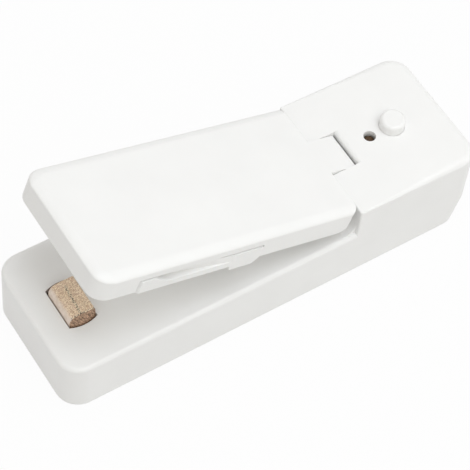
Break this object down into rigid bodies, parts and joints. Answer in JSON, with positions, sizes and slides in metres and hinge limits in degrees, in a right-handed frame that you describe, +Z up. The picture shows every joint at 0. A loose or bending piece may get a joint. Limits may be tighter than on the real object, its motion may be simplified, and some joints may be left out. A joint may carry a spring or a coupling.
{
  "type": "handheld bag sealer",
  "caption": "Palm-sized bag heat sealer: sprung press lever over a cloth-covered heater, push button, lamp hole and a fold-out cutter arm in the lever's side.",
  "frame": {"origin": "middle of the base's footprint, on the surface it stands on", "axes": "+X along the body from the heater tip to the rear block, +Y across, +Z up"},
  "size_m": [0.1, 0.0316, 0.0422],
  "materials": {
    "white_plastic": "satin",
    "carrier_plastic": "matt",
    "glass_cloth": "coated weave",
    "heating_alloy": "rolled",
    "steel": "plated",
    "blade_steel": "ground",
    "socket_steel": "stamped",
    "red_insulation": "smooth",
    "black_insulation": "smooth",
    "cell_pouch": "foil",
    "foam": "open cell",
    "board_green": "lacquered",
    "black_plastic": "moulded",
    "lamp_plastic": "tinted",
    "pad_rubber": "silicone"
  },
  "bodies": {
    "base": {"base_shell": "white_plastic", "bottom_cover": "white_plastic", "cover_screws": "steel", "heater_block": "carrier_plastic", "heating_strip": "heating_alloy", "ptfe_cover": "glass_cloth", "heater_screws": "steel", "heater_leads": "red_insulation", "battery_cell": "cell_pouch", "battery_tape": "foam", "battery_leads": "black_insulation", "circuit_board": "board_green", "board_parts": "black_plastic", "board_screws": "steel", "tact_switch": "black_plastic", "indicator_led": "lamp_plastic", "charge_socket": "socket_steel", "hinge_pins": "steel", "opening_spring": "steel"},
    "button": {"power_button": "white_plastic", "switch_plunger": "black_plastic"},
    "lever": {"lever_cover": "white_plastic", "lever_underplate": "white_plastic", "press_pad": "pad_rubber", "lever_screws": "steel", "cutter_pivot": "steel"},
    "cutter": {"cutter_arm": "white_plastic", "cutter_blade": "blade_steel", "blade_screw": "steel"}
  },
  "joints": [
    {"name": "lever_hinge", "type": "hinge", "parent": "base", "child": "lever", "pos_m": [0.0219, 0, 0.019], "axis": [0, -1, 0], "range_deg": [0, 17.7], "stiffness_Nm_per_rad": 0.02, "springref_deg": -34.38, "deforming": ["opening_spring"]},
    {"name": "button_press", "type": "slide", "parent": "base", "child": "button", "axis": [0, 0, -1], "range_m": [0, 0.0008], "stiffness_N_per_m": 800, "springref_m": -0.001},
    {"name": "cutter_swing", "type": "hinge", "parent": "lever", "child": "cutter", "pos_m": [-0.03198, -0.0128, 0.03436], "axis": [-0.304, 0, -0.9527], "range_deg": [0, 75]}
  ]
}
